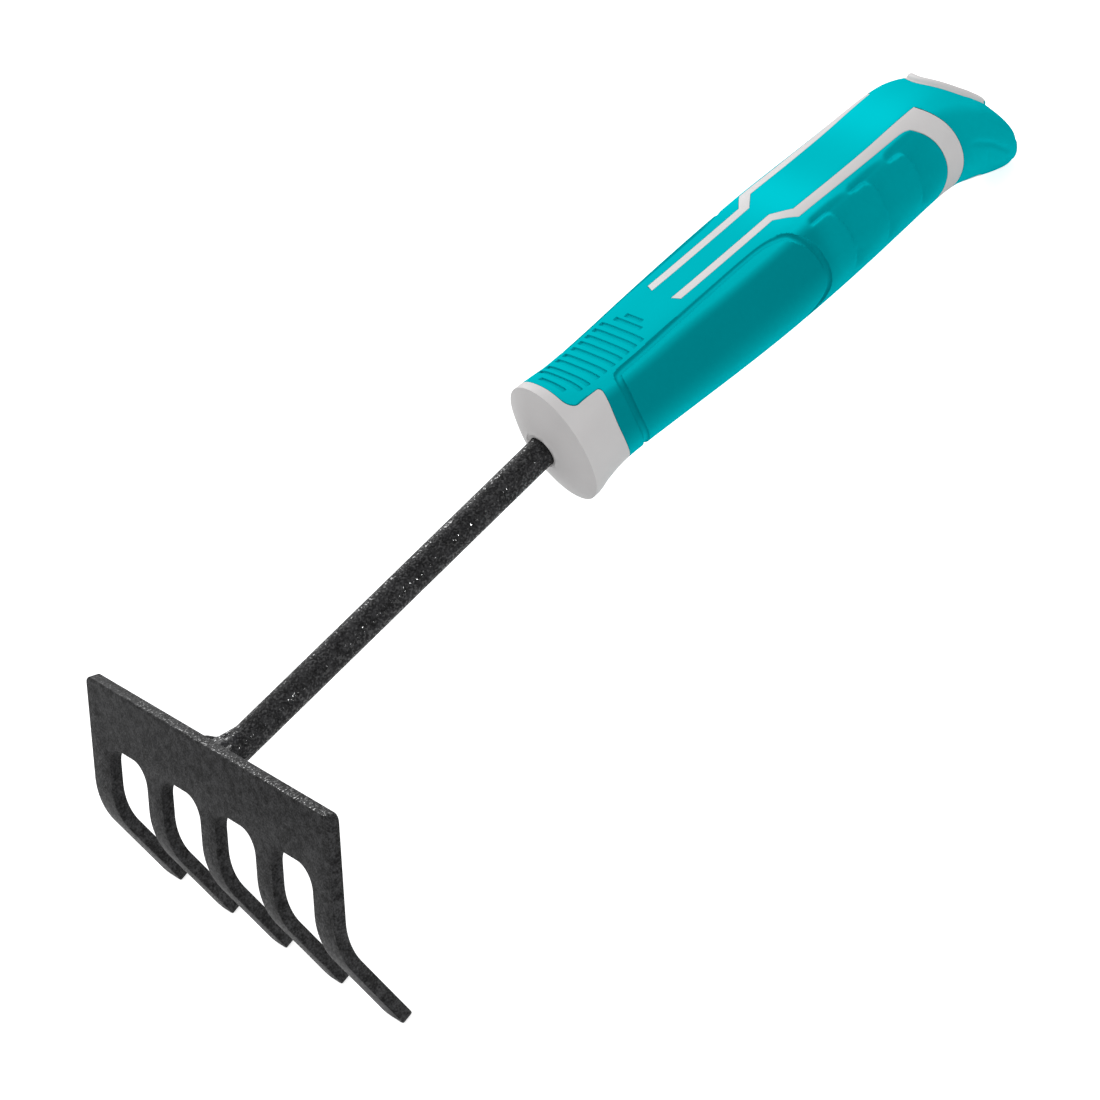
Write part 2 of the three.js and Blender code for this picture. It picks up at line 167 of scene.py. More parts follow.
# %% Helpers for node materials
def new_material(name):
    material = bpy.data.materials.new(name)
    material.use_nodes = True
    tree = material.node_tree
    shader = tree.nodes["Principled BSDF"]
    place = tree.nodes.new("ShaderNodeTexCoord")
    return material, tree, shader, place


def add_node(tree, kind, **settings):
    node = tree.nodes.new(kind)
    for key, value in settings.items():
        if key in node.inputs:
            node.inputs[key].default_value = value
        else:
            setattr(node, key, value)
    return node


def ramp(tree, source, stops):
    node = tree.nodes.new("ShaderNodeValToRGB")
    elements = node.color_ramp.elements
    while len(elements) < len(stops):
        elements.new(0.5)
    for element, (position, color) in zip(elements, stops):
        element.position = position
        element.color = (*color, 1) if len(color) == 3 else (color[0], color[0], color[0], 1)
    tree.links.new(source, node.inputs["Fac"])
    return node


print("material helpers ready")

# %% [markdown]
# The black parts wear a hammered powder coat: charcoal, mottled at about a millimetre, with a
# fine grain whose crests catch small sharp glints. One shiny layer would light up all over. So
# the base is matt, and a thin clear coat shows only on scattered specks, as much as the attribute
# "sparkle" lets it. The scales of the noises are in features per metre.

# %% Powder coat
mottle_scale, grain_scale, cell_scale, speck_scale = 520.0, 2400.0, 1500.0, 1900.0
dull, bright = 0.04, 1.0


def make_coat(name, base, spread, roughness):
    """A matt coat. The spread says how far its mottling strays from the base colour."""
    material, tree, shader, place = new_material(name)
    mottle = add_node(tree, "ShaderNodeTexNoise", Scale=mottle_scale, Detail=2.0, Roughness=0.5)
    grain = add_node(tree, "ShaderNodeTexNoise", Scale=grain_scale, Detail=1.0, Roughness=0.5)
    cells = add_node(tree, "ShaderNodeTexVoronoi", Scale=cell_scale)
    specks = add_node(tree, "ShaderNodeTexNoise", Scale=speck_scale, Detail=1.0)
    for node in (mottle, grain, cells, specks):
        tree.links.new(place.outputs["Object"], node.inputs["Vector"])
    both = add_node(tree, "ShaderNodeMix", data_type="FLOAT")
    both.inputs["Factor"].default_value = 0.55
    tree.links.new(mottle.outputs["Fac"], both.inputs["A"])
    tree.links.new(grain.outputs["Fac"], both.inputs["B"])
    low = tuple(value * (1 - spread) for value in base)
    high = tuple(value * (1 + spread * 1.3) for value in base)
    color = ramp(tree, both.outputs["Result"], [(0.36, low), (0.5, base), (0.62, high)])
    tree.links.new(color.outputs["Color"], shader.inputs["Base Color"])
    shader.inputs["Roughness"].default_value = roughness
    shader.inputs["Specular IOR Level"].default_value = 0.08
    shader.inputs["Coat Roughness"].default_value = 0.1
    crests = ramp(tree, specks.outputs["Fac"], [(0.54, (dull,)), (0.6, (bright,))])
    sparkle = add_node(tree, "ShaderNodeAttribute", attribute_name="sparkle")
    weight = add_node(tree, "ShaderNodeMath", operation="MULTIPLY")
    tree.links.new(crests.outputs["Color"], weight.inputs[0])
    tree.links.new(sparkle.outputs["Fac"], weight.inputs[1])
    tree.links.new(weight.outputs[0], shader.inputs["Coat Weight"])
    soft = add_node(tree, "ShaderNodeBump", Strength=0.35, Distance=0.06 * mm)
    sharp = add_node(tree, "ShaderNodeBump", Strength=0.45, Distance=0.22 * mm)
    tree.links.new(grain.outputs["Fac"], soft.inputs["Height"])
    tree.links.new(cells.outputs["Distance"], sharp.inputs["Height"])
    tree.links.new(soft.outputs["Normal"], shader.inputs["Normal"])
    tree.links.new(sharp.outputs["Normal"], shader.inputs["Coat Normal"])
    return material


def mark_sparkle(piece, share):
    """Keeps on every point how strongly its clear crests show, where 1 is full strength."""
    layer = piece.data.attributes.new("sparkle", "FLOAT", "POINT")
    values = [share(vert) for vert in piece.data.vertices]
    layer.data.foreach_set("value", np.asarray(values, dtype=np.float32))


black_coat = make_coat("black_powder_coat", (0.029, 0.029, 0.03), 0.75, 0.5)
# The bar wears the same powder coat with a darker base: painted shade that darkens the round bar.
bar_coat_painted_shade = make_coat("dark_coat", (0.019, 0.019, 0.02), 0.75, 0.5)
weld_coat = make_coat("coated_weld", (0.022, 0.022, 0.024), 0.5, 0.3)
print("coats:", black_coat.name, bar_coat_painted_shade.name, weld_coat.name)

# %% [markdown]
# The handle is moulded twice: a satin grey plastic, then a soft teal rubber without any
# shine. Both have a faint cloud in their colour and a fine grain that breaks up their gloss. The
# rubber's colour also carries painted light and shade: it is deeper on its flanks and pads, and
# lighter on the crown and the belly. Light alone could do that for one view, but it would turn
# with the lamps, so the share of painted shade is kept on the mesh and read here.

# %% Grey plastic and teal rubber
cloud_scale = 60.0


def make_moulded(name, colors, roughness, grain_scale, grain_depth, specular, tint, layer=None):
    """A moulded finish in one colour, or in three that follow an attribute from 0 to 1.
    The three are lit and shaded tones of one colour, so they are painted light and shade.
    """
    material, tree, shader, place = new_material(name)
    cloud = add_node(tree, "ShaderNodeTexNoise", Scale=cloud_scale, Detail=2.0)
    grain = add_node(tree, "ShaderNodeTexNoise", Scale=grain_scale, Detail=3.0, Roughness=0.55)
    for node in (cloud, grain):
        tree.links.new(place.outputs["Object"], node.inputs["Vector"])
    source = cloud.outputs["Fac"]
    stops = [(0.35, tuple(value * 0.96 for value in colors[0])),
             (0.65, tuple(value * 1.03 for value in colors[0]))]
    if layer:
        share = add_node(tree, "ShaderNodeAttribute", attribute_name=layer)
        wobble = add_node(tree, "ShaderNodeMath", operation="MULTIPLY_ADD")
        wobble.inputs[1].default_value = 0.06
        tree.links.new(source, wobble.inputs[0])
        tree.links.new(share.outputs["Fac"], wobble.inputs[2])
        source = wobble.outputs[0]
        stops = [(0.03, colors[0]), (0.5, colors[1]), (1.0, colors[2])]
    color = ramp(tree, source, stops)
    tree.links.new(color.outputs["Color"], shader.inputs["Base Color"])
    gloss = ramp(tree, grain.outputs["Fac"], [(0.3, (roughness - 0.05,)), (0.7, (roughness + 0.06,))])
    tree.links.new(gloss.outputs["Color"], shader.inputs["Roughness"])
    bump = add_node(tree, "ShaderNodeBump", Strength=0.35, Distance=grain_depth)
    tree.links.new(grain.outputs["Fac"], bump.inputs["Height"])
    tree.links.new(bump.outputs["Normal"], shader.inputs["Normal"])
    shader.inputs["Specular IOR Level"].default_value = specular
    shader.inputs["Specular Tint"].default_value = (*tint, 1)
    return material


grey_plastic = make_moulded("satin_grey_plastic", [(0.69, 0.675, 0.675)],
                            0.45, 2200.0, 0.04 * mm, 0.3, (1.0, 1.0, 1.0))
# The teal's three tones are painted light and shade: the light tone on the crown and belly, the deep tone as
# painted shade on the flanks and pads, chosen by the attribute flank.
teal_rubber = make_moulded("soft_teal_rubber", [(0.0, 0.63, 0.71), (0.0, 0.42, 0.475), (0.0, 0.27, 0.31)],
                           0.5, 3000.0, 0.05 * mm, 0.0, (0.0, 0.9, 1.0), "flank")
print("moulded finishes:", grey_plastic.name, teal_rubber.name)

# %% [markdown]
# The head is stamped from one strip of sheet: slots first, then the edges eased, then the tines
# bent back. It could be extruded from an outline of the finished shape, but the bend would then
# need its own cross sections. So it is modelled in the maker's order, flat, with its back face at
# x = 0 and its top edge at z = 0. The slots are cut by four rounded blocks.

# %% Head: the blank and its slots
sheet, head_width = 3.0, 93.8
straight, tine_end = 24.4, 20.6
bend_angle, bend_radius = math.radians(35.6), 18.0
head_length = straight + round(bend_angle * bend_radius, 2) + tine_end
tines, inner_tine, outer_tine, crown = 5, 6.2, 7.5, 14.4
slots = tines - 1
slot_width = (head_width - (tines - 2) * inner_tine - 2 * outer_tine) / slots
slot_corner, overrun, hair = 5.0, 5.0, 0.1
deselect()
bpy.ops.mesh.primitive_cube_add(size=1, location=(-sheet / 2 * mm, 0, -head_length / 2 * mm),
                                scale=(sheet * mm, head_width * mm, head_length * mm))
head = start("head_sheet")
lay(head, Matrix.Identity(4))
slot_length = head_length - crown + overrun
for slot in range(slots):
    left = -head_width / 2 + outer_tine + slot * (slot_width + inner_tine)
    deselect()
    bpy.ops.mesh.primitive_cube_add(
        size=1, location=(-sheet / 2 * mm, (left + slot_width / 2) * mm, (-crown - slot_length / 2) * mm),
        scale=(3 * sheet * mm, slot_width * mm, slot_length * mm))
    cutter = start("slot_block")
    lay(cutter, Matrix.Identity(4))
    bpy.ops.object.mode_set(mode="EDIT")
    top = (-crown - hair) * mm
    pick(cutter, lambda edge: all(v.co.z > top for v in edge.verts)
         and abs(edge.verts[0].co.y - edge.verts[1].co.y) < hair * mm, "EDGE")
    bpy.ops.mesh.bevel(offset=slot_corner * mm, segments=10, affect="EDGES")
    bpy.ops.object.mode_set(mode="OBJECT")
    combine(head, cutter, "DIFFERENCE")
print("slots", round(slot_width, 1), "mm wide, head", count(head), "triangles")

# %% [markdown]
# The corners of the plate and of the tine tips are rounded in the sheet's own plane: in edit mode
# the short edges that run through the sheet are picked and bevelled. Then every rim gets a small
# round, as a tumbled and coated edge has. A modifier does that, since it finds all the sharp
# edges by their angle, and the round catches the light as a thin line.

# %% Head: corners and edges
plate_corner, tip_corner, rim_round = 1.7, 1.8, 0.32


def across_sheet(edge):
    return abs(edge.verts[0].co.x - edge.verts[1].co.x) > 2 * sheet / 3 * mm


activate(head)
bpy.ops.object.mode_set(mode="EDIT")
pick(head, lambda edge: across_sheet(edge) and all(v.co.z > -hair * mm for v in edge.verts), "EDGE")
bpy.ops.mesh.bevel(offset=plate_corner * mm, segments=6, affect="EDGES")
bottom = (hair - head_length) * mm
pick(head, lambda edge: across_sheet(edge) and all(v.co.z < bottom for v in edge.verts), "EDGE")
bpy.ops.mesh.bevel(offset=tip_corner * mm, segments=6, affect="EDGES")
bpy.ops.object.mode_set(mode="OBJECT")
modify(head, "BEVEL", width=rim_round * mm, segments=3, limit_method="ANGLE", angle_limit=math.radians(40))
print("eased head:", count(head), "triangles")

# %% [markdown]
# A press bends the tines back in one stroke. Here it is done by hand: the strip is cut across by
# a row of lines, and at each line everything below it is turned back by a small step about the
# inner face. A modifier could bend it too, but the steps keep the straight parts straight. Twelve
# steps make the whole bend. The turning tool works the other way round without a window.

# %% Head: the bend
bend_steps = 12
step_angle = bend_angle / bend_steps
chord = 2 * bend_radius * math.sin(step_angle / 2)
activate(head)
bpy.ops.object.mode_set(mode="EDIT")
for step in range(bend_steps):
    bpy.ops.mesh.select_all(action="SELECT")
    bpy.ops.mesh.bisect(plane_co=(0, 0, (-straight - (step + 0.5) * chord) * mm), plane_no=(0, 0, 1))
for step in reversed(range(bend_steps)):
    line = (-straight - (step + 0.5) * chord) * mm
    pick(head, lambda place: place.z < line - 0.01 * mm)
    bpy.ops.transform.rotate(value=step_angle, orient_axis="Y", center_override=(0, 0, line))
bpy.ops.object.mode_set(mode="OBJECT")
tips = min(vert.co.z for vert in head.data.vertices) / mm
reach = max(vert.co.x for vert in head.data.vertices) / mm
print("tips at", round(tips, 1), "mm, bent back to", round(reach, 1), "mm")

# %% [markdown]
# The finished head leans back on the bar's end. Its top rim faces the light and sparkles most at
# the near end, and the flat plate sparkles little. That is noted while the head is still upright,
# where a point's height says which part it belongs to. Then the mesh is moved, and the object
# stays at the origin.

# %% Head: on its place
plate_lean, top_above_bar = math.radians(28.5), 6.9
plate_turn = Matrix.Rotation(plate_lean, 4, "Y")
plate_top = plate_turn @ Vector((0, 0, top_above_bar * mm))
rim_sparkle, rim_change, face_sparkle, tine_sparkle, face_foot = 0.7, 0.6, 0.12, 0.3, 20


def head_sparkle(vert):
    """Strong on the top rim towards its near end, little on the plate's face, more on the tines."""
    if vert.co.z > -hair * mm:
        return rim_sparkle - rim_change * vert.co.y / (head_width / 2 * mm)
    return face_sparkle if vert.co.z > -face_foot * mm else tine_sparkle


mark_sparkle(head, head_sparkle)
lay(head, tool_place @ Matrix.Translation(plate_top) @ plate_turn)
smooth(head, 35)
head.data.materials.clear()
head.data.materials.append(black_coat)
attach(head, "root")
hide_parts("rake_head")
low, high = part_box("rake_head")
print("CAD head:", [round(v / mm, 1) for v in (*low, *high)])
spots = [vert.co for vert in head.data.vertices]
print("head:", [round(end(spot[axis] for spot in spots) / mm, 1) for end in (min, max) for axis in range(3)])

# %% [markdown]
# The bar is plain round stock. Its root is cut to the plate's slope, and its far end is a tang
# deep in the handle, so only its length between the two shows. A curve with a round bevel could
# make it, but a cylinder is quickly cut by a plane in edit mode, which a slanted root needs.

# %% Bar
bar_radius, bar_start, bar_end, tang_ease, root_gap = 3.5, -7.0, 173.0, 0.5, 0.1
deselect()
bpy.ops.mesh.primitive_cylinder_add(vertices=96, radius=bar_radius * mm, depth=(bar_end - bar_start) * mm,
                                    location=((bar_start + bar_end) / 2 * mm, 0, 0),
                                    rotation=(0, math.radians(90), 0))
bar = start("round_bar")
lay(bar, Matrix.Identity(4))
bpy.ops.object.mode_set(mode="EDIT")
plate_back = plate_turn @ Vector((1, 0, 0))
bpy.ops.mesh.select_all(action="SELECT")
bpy.ops.mesh.bisect(plane_co=plate_back * root_gap * mm, plane_no=plate_back, use_fill=True, clear_inner=True)
pick(bar, lambda face: len(face.verts) > 90 and face.calc_center_median().x > bar_end / 2 * mm, "FACE")
bpy.ops.mesh.bevel(offset=tang_ease * mm, segments=3, affect="EDGES")
bpy.ops.object.mode_set(mode="OBJECT")
lay(bar, tool_place)
smooth(bar, 35)
mark_sparkle(bar, lambda vert: 1.0)
bar.data.materials.append(bar_coat_painted_shade)
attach(bar, "root")
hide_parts("shank")
print("bar:", count(bar), "triangles")

# %% [markdown]
# The weld is one pass of bead round the bar's root, fuller on the far side, with the small
# ripples of its freezing puddle. It could be sculpted, or a ring could be swept round the bar. Its
# section changes all the way round, though, so a flat grid is rolled round the bar instead: one
# side of the grid runs round it, and the other from the bead's foot on the plate up its hollow
# face, and back down inside the bar. The seam is merged and the open ends are bridged.

# %% Weld bead: its shape
weld_sides, weld_rows = 144, 22
fullest = math.radians(52)
least_width, more_width, least_height, more_height = 2.0, 4.0, 2.2, 5.2
plate_limit = 5.1
skirt, wall = 0.08, 0.93
small_ripple, large_ripple = 0.3, 0.35


def weld_section(turn, share):
    """Where the bead's skin lies at a turn round the bar and a share of its lap, from 0 to 1."""
    fullness = 0.5 + 0.5 * np.cos(turn - fullest)
    unit_y, unit_z = np.cos(turn), np.sin(turn)
    width = least_width + more_width * fullness
    height = least_height + more_height * fullness ** 1.2
    squash = np.clip((plate_limit / np.maximum(unit_z, 0.3) - bar_radius) / width, 0.3, 0.85)
    lap = np.clip((share - skirt) / (1 - 2 * skirt), 0, 1)
    hollow = (1 - np.sin(lap * math.pi / 2)) ** 0.9
    climb = (1 - np.cos(lap * math.pi / 2)) ** 0.9
    ripple = (small_ripple * np.sin(turn * 17 + 3 * np.sin(turn * 2) - 3 * lap)
              + large_ripple * np.sin(turn * 7 + 9 * lap))
    swell = np.sin(math.pi * lap) * (ripple + 0.12) * (0.6 + 0.6 * fullness)
    spread = bar_radius + width * hollow + swell * 0.6
    rise = 0.12 + height * climb + swell * 0.5
    rise = np.where(share < skirt, 0.04 + share, rise)
    spread = np.where(share > wall, bar_radius - 0.3, spread)
    rise = np.where(share > 0.99, 0.1, rise)
    return unit_y * spread, unit_z * (bar_radius + (spread - bar_radius) * squash), rise


def read_places(piece):
    values = np.empty(len(piece.data.vertices) * 3)
    piece.data.vertices.foreach_get("co", values)
    return values.reshape(-1, 3)


print("the bead spreads", least_width, "to", least_width + more_width, "mm")

# %% [markdown]
# The grid is two units wide, from -1 to 1. One side becomes the turn round the bar and the other
# the share of the lap. Its points are leaned with the plate, so that the bead sits on the slope.

# %% Weld bead: rolling it up
deselect()
bpy.ops.mesh.primitive_grid_add(x_subdivisions=weld_sides, y_subdivisions=weld_rows, size=2)
weld = start("weld_bead_ripples")
spots = read_places(weld)
weld_y, weld_z, weld_rise = weld_section((spots[:, 0] + 1) * math.pi, (spots[:, 1] + 1) / 2)
slope = weld_z * math.tan(plate_lean)
shaped = np.stack([slope + weld_rise / math.cos(plate_lean), weld_y, weld_z], axis=1) * mm
weld.data.vertices.foreach_set("co", shaped.ravel())
bpy.ops.object.mode_set(mode="EDIT")
bpy.ops.mesh.select_all(action="SELECT")
bpy.ops.mesh.remove_doubles(threshold=0.002 * mm)
bpy.ops.mesh.select_mode(type="VERT")
bpy.ops.mesh.select_all(action="DESELECT")
bpy.ops.mesh.select_non_manifold()
bpy.ops.mesh.bridge_edge_loops()
bpy.ops.mesh.select_all(action="SELECT")
bpy.ops.mesh.normals_make_consistent(inside=False)
bpy.ops.object.mode_set(mode="OBJECT")
lay(weld, tool_place)
smooth(weld, 60)
mark_sparkle(weld, lambda vert: 1.0)
weld.data.materials.append(weld_coat)
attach(weld, "root")
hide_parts("weld_bead")
print("weld:", count(weld), "triangles, top", round(float(weld_z.max()), 1), "mm over the bar's axis")

# %% [markdown]
# The grip is a soft skin round a hard core, and its shape changes all the way: a flared collar,
# a slim neck for the fingers, a full palm and a butt that sweeps down. It could be modelled from
# a box with subdivision, but then its side view would follow the reference only roughly. Lofted
# through sections, it follows both outlines closely. Each row gives, as shares of the handle's
# length, height, depth and half width, the crown line (place, height), the belly line (place,
# depth) and the half width, and then how square the upper and the lower half are.

# %% Grip: sections
grip_length, crown_height, belly_depth, grip_half = 139.0, 15.0, 15.2, 13.9
section_shares = [
    [0.000, 1.027, 0.000, 1.020, 0.892, 2.1, 2.1],
    [0.014, 1.003, 0.014, 1.004, 0.899, 2.2, 2.1],
    [0.036, 0.933, 0.036, 0.929, 0.885, 2.6, 2.1],
    [0.072, 0.827, 0.072, 0.848, 0.878, 3.4, 2.15],
    [0.115, 0.778, 0.115, 0.832, 0.892, 4.0, 2.2],
    [0.173, 0.787, 0.173, 0.858, 0.914, 4.0, 2.2],
    [0.245, 0.812, 0.245, 0.898, 0.935, 4.1, 2.2],
    [0.331, 0.813, 0.331, 0.938, 0.971, 4.5, 2.2],
    [0.432, 0.823, 0.432, 0.970, 0.993, 4.8, 2.2],
    [0.532, 0.837, 0.532, 0.968, 1.000, 4.7, 2.2],
    [0.619, 0.823, 0.619, 0.943, 0.996, 4.6, 2.2],
    [0.705, 0.825, 0.705, 0.916, 0.957, 4.5, 2.2],
    [0.770, 0.855, 0.773, 0.898, 0.914, 4.2, 2.2],
    [0.820, 0.869, 0.813, 0.895, 0.906, 3.7, 2.2],
    [0.860, 0.847, 0.847, 0.934, 0.914, 2.9, 2.2],
    [0.897, 0.700, 0.875, 1.046, 0.906, 2.4, 2.2],
    [0.930, 0.373, 0.902, 1.139, 0.878, 2.3, 2.2],
    [0.958, -0.027, 0.928, 1.230, 0.806, 2.2, 2.2],
    [0.979, -0.413, 0.954, 1.303, 0.691, 2.1, 2.2],
    [0.991, -0.813, 0.974, 1.322, 0.475, 2.2, 2.2],
]
sections = np.array(section_shares) * [grip_length, crown_height, grip_length, -belly_depth, grip_half, 1, 1]
middle_line = (sections[:, 0:2] + sections[:, 2:4]) / 2
stations = np.concatenate([[0], np.cumsum(np.hypot(*np.diff(middle_line, axis=0).T))])
print(len(sections), "sections over", round(stations[-1], 1), "mm")

# %% [markdown]
# Straight lines from section to section would show as facets. A cubic curve runs through all of
# them instead, with each slope taken from the two neighbours. Every section is a superellipse: its
# power says whether it is round or nearly square.

# %% Grip: a smooth curve through the sections
slopes = np.gradient(sections, stations, axis=0)
slopes[1:-1] = (sections[2:] - sections[:-2]) / (stations[2:] - stations[:-2])[:, None]


def section_at(place):
    row = np.clip(np.searchsorted(stations, place, side="right") - 1, 0, len(stations) - 2)
    gap = (stations[row + 1] - stations[row])[:, None]
    x = (place - stations[row])[:, None] / gap
    return ((2 * x ** 3 - 3 * x ** 2 + 1) * sections[row] + (x ** 3 - 2 * x ** 2 + x) * gap * slopes[row]
            + (3 * x ** 2 - 2 * x ** 3) * sections[row + 1] + (x ** 3 - x ** 2) * gap * slopes[row + 1])


def skin(place, angle, inset):
    """Points of the skin, in mm in the handle frame, drawn in by an inset."""
    rows = section_at(place)
    crown, belly = rows[:, 0:2], rows[:, 2:4]
    upward = crown - belly
    height = np.hypot(*upward.T)
    upward = upward / height[:, None]
    level = np.clip(-belly[:, 1] / (crown[:, 1] - belly[:, 1]), 0.3, 0.7) * height
    cosine, sine = np.cos(angle), np.sin(angle)
    power = 2 / np.where(sine >= 0, rows[:, 5], rows[:, 6])
    rise = np.where(sine >= 0, height - level - inset, level - inset)
    climb = level + np.sign(sine) * np.abs(sine) ** power * rise
    across = np.sign(cosine) * np.abs(cosine) ** power * (rows[:, 4] - inset)
    return np.stack([belly[:, 0] + upward[:, 0] * climb, across, belly[:, 1] + upward[:, 1] * climb], axis=1)


print("widest section:", round(2 * section_at(np.array([74.0]))[0, 4], 1), "mm")

# %% [markdown]
# A loft alone is a tube with two open ends. In front, the collar closes over a blunt nose round
# the bar, with a small lip. At the rear the butt is rounded off. A flat cap would be simpler but
# would show as a hard edge, so the end rows are drawn in by a formula.

# %% Grip: closing the two ends
nose_rows, cap_rows = 22, 12
nose_reach, nose_radius, butt_round, sag = 3.2, 5.0, 2.2, 0.7
bar_lip_radius, bar_lip_width, bar_lip_height, nose_hole = 4.5, 0.5, 0.35, 0.3


def close_nose(points, row, inset):
    """Draws the front rows in from the rim to a blunt nose round the bar, with a small lip there."""
    fold = np.clip(1 - row / nose_rows, 0, 1)[:, None]
    length = np.linalg.norm(points * [0, 1, 1], axis=1, keepdims=True)
    unit = points * [0, 1, 1] / np.maximum(length, 1e-9)
    radius = length + (nose_hole - length) * fold
    drop = np.clip((length - radius) / np.maximum(length - nose_radius, 1e-6), 0, 1)
    bar_lip = np.exp(-((radius - bar_lip_radius) / bar_lip_width) ** 2) * bar_lip_height * (inset == 0)
    bulge = 0.45 * np.sin(drop * math.pi / 2) + 0.55 * drop
    moved = unit * radius
    moved[:, 0:1] = inset - nose_reach * bulge - bar_lip
    moved[:, 2:3] += drop * sag
    return np.where(fold > 0, moved, points)


def close_butt(points, past, inset):
    """Rounds the last rows off beyond the last section, nearly to a point."""
    turn = np.clip(past / cap_rows, 0, 1)[:, None] * math.pi / 2 * 0.985
    end = section_at(np.array([stations[-1] - inset, stations[-1] - inset - 0.5]))
    middles = (end[:, 0:2] + end[:, 2:4]) / 2
    outward = (middles[0] - middles[1]) / np.hypot(*(middles[0] - middles[1]))
    middle = np.array([middles[0, 0], 0, middles[0, 1]])
    out = np.array([outward[0], 0, outward[1]])
    moved = middle + (points - middle) * np.cos(turn) + out * butt_round * np.sin(turn)
    return np.where(turn > 0, moved, points)


print("the nose stands", nose_reach, "mm out of the collar")

# %% [markdown]
# The skin starts as a flat grid that is rolled up, as the weld was: one side of the grid runs
# round the section and the other along the handle. The same helper makes thinner copies, drawn in
# by an inset, which serve below as the core, the rubber's inside and the floor of the pockets.

# %% Grip: rolling a grid into the skin
ring_steps = 1440


def even_ring(place, inset, sides):
    """One ring of the skin, its points an even distance apart, from the far side over the crown."""
    angle = np.linspace(0, 2 * math.pi, ring_steps + 1)
    ring = skin(np.full(len(angle), place), angle, inset)
    walked = np.concatenate([[0], np.cumsum(np.linalg.norm(np.diff(ring, axis=0), axis=1))])
    marks = np.linspace(0, walked[-1], sides + 1)
    return np.stack([np.interp(marks, walked, ring[:, axis]) for axis in range(3)], axis=1)


def roll_skin(name, inset, rows, sides):
    deselect()
    total = nose_rows + rows + cap_rows
    bpy.ops.mesh.primitive_grid_add(x_subdivisions=sides, y_subdivisions=total, size=2)
    body = start(name)
    spots = read_places(body)
    column = np.rint((spots[:, 0] + 1) / 2 * sides).astype(int)
    row = np.rint((spots[:, 1] + 1) / 2 * total).astype(int)
    along = np.clip((np.arange(total + 1) - nose_rows) / rows, 0, 1)
    places = inset + along * (stations[-1] - 2 * inset)
    rings = np.array([even_ring(place, inset, sides) for place in places])
    points = rings[row, column]
    points = close_nose(points, row, inset)
    points = close_butt(points, row - nose_rows - rows, inset)
    body.data.vertices.foreach_set("co", (points * mm).ravel())
    activate(body)
    bpy.ops.object.mode_set(mode="EDIT")
    bpy.ops.mesh.select_all(action="SELECT")
    bpy.ops.mesh.remove_doubles(threshold=0.001 * mm)
    bpy.ops.mesh.select_mode(type="VERT")
    bpy.ops.mesh.select_all(action="DESELECT")
    bpy.ops.mesh.select_non_manifold()
    bpy.ops.mesh.edge_face_add()
    bpy.ops.mesh.select_all(action="SELECT")
    bpy.ops.mesh.normals_make_consistent(inside=False)
    bpy.ops.object.mode_set(mode="OBJECT")
    return body


skin_body = roll_skin("grip_skin", 0.0, 330, 224)
print("skin:", count(skin_body), "triangles")

# %% [markdown]
# The grip has soft forms that follow curves seen from the side. A few helpers are needed for
# them: a smooth curve through a few points, how far a place lies beside such a curve, and a soft
# step from 0 to 1.

# %% Grip: curves on the side view
def soften(line, steps=8):
    """A smooth curve through a row of points."""
    line = np.array(line)
    ends = np.vstack([2 * line[0] - line[1], line, 2 * line[-1] - line[-2]])
    curve = []
    for index in range(1, len(ends) - 2):
        a, b, c, d = ends[index - 1:index + 3]
        for step in range(steps):
            x = step / steps
            curve.append(0.5 * (2 * b + (c - a) * x + (2 * a - 5 * b + 4 * c - d) * x ** 2
                                + (3 * b - a - 3 * c + d) * x ** 3))
    curve.append(line[-1])
    return np.array(curve)


def beside(points, line):
    """How far points lie to the left of a line, and how far along it, from 0 to 1."""
    best = np.full(len(points), 1e9)
    side = np.zeros(len(points))
    along = np.zeros(len(points))
    for index in range(len(line) - 1):
        start_point, step = line[index], line[index + 1] - line[index]
        offset = points - start_point
        share = np.clip(offset @ step / (step @ step), 0, 1)
        apart = offset - share[:, None] * step
        distance = np.hypot(*apart.T)
        closer = distance < best
        best = np.where(closer, distance, best)
        left = np.sign(step[0] * offset[:, 1] - step[1] * offset[:, 0])
        side = np.where(closer, left, side)
        along = np.where(closer, (index + share) / (len(line) - 1), along)
    return best * side, along


def ease(value, low, high):
    share = np.clip((value - low) / (high - low), 0, 1)
    return share * share * (3 - 2 * share)


print("curve helpers ready")

# %% [markdown]
# The flanks have three finger scallops, each a shallow step that sinks towards the butt and
# rises again, and the butt has a soft crease. The hang hole has a proud, rounded lip. Cut with
# blocks, such forms would get hard edges all round. So it is worked out how deep each point of
# the skin is to be pushed in along its normal, or, at the lip, out.

# %% Grip: scallops, crease and lip
scallops = [
    [(73.0, 9.5), (76.0, 9.45), (78.8, 9.3), (80.4, 7.2),
     (81.6, 3.1), (82.1, -1.3), (81.6, -4.9), (80.2, -7.8)],
    [(84.9, 9.5), (88.2, 9.2), (91.0, 8.8), (92.7, 6.2),
     (93.2, 2.8), (93.2, -1.3), (92.6, -5.4), (91.2, -8.2)],
    [(97.6, 8.9), (100.5, 8.6), (103.0, 8.1), (104.2, 6.0),
     (104.8, 3.2), (104.8, 0.0), (104.4, -4.0), (103.0, -7.0)],
]
crease = [(120.0, -1.3), (122.9, -2.9), (125.6, -5.1), (128.0, -7.2),
          (130.0, -9.7), (131.8, -12.0), (133.2, -14.1)]
scallop_depth, scallop_reach, crease_depth, crease_width = 1.0, 8.5, 0.35, 0.7
flank_start, flank_end = 6.5, 9.0
hole_centre, hole_lean = (128.3, 4.9), math.radians(20)
lip_radius, lip_round = 7.7, 1.0


def beside_hole(s, t):
    """How far a place lies beside the hang hole's axis, seen from the side, and how far up it."""
    s, t = s - hole_centre[0], t - hole_centre[1]
    return (s * math.cos(hole_lean) - t * math.sin(hole_lean),
            s * math.sin(hole_lean) + t * math.cos(hole_lean))


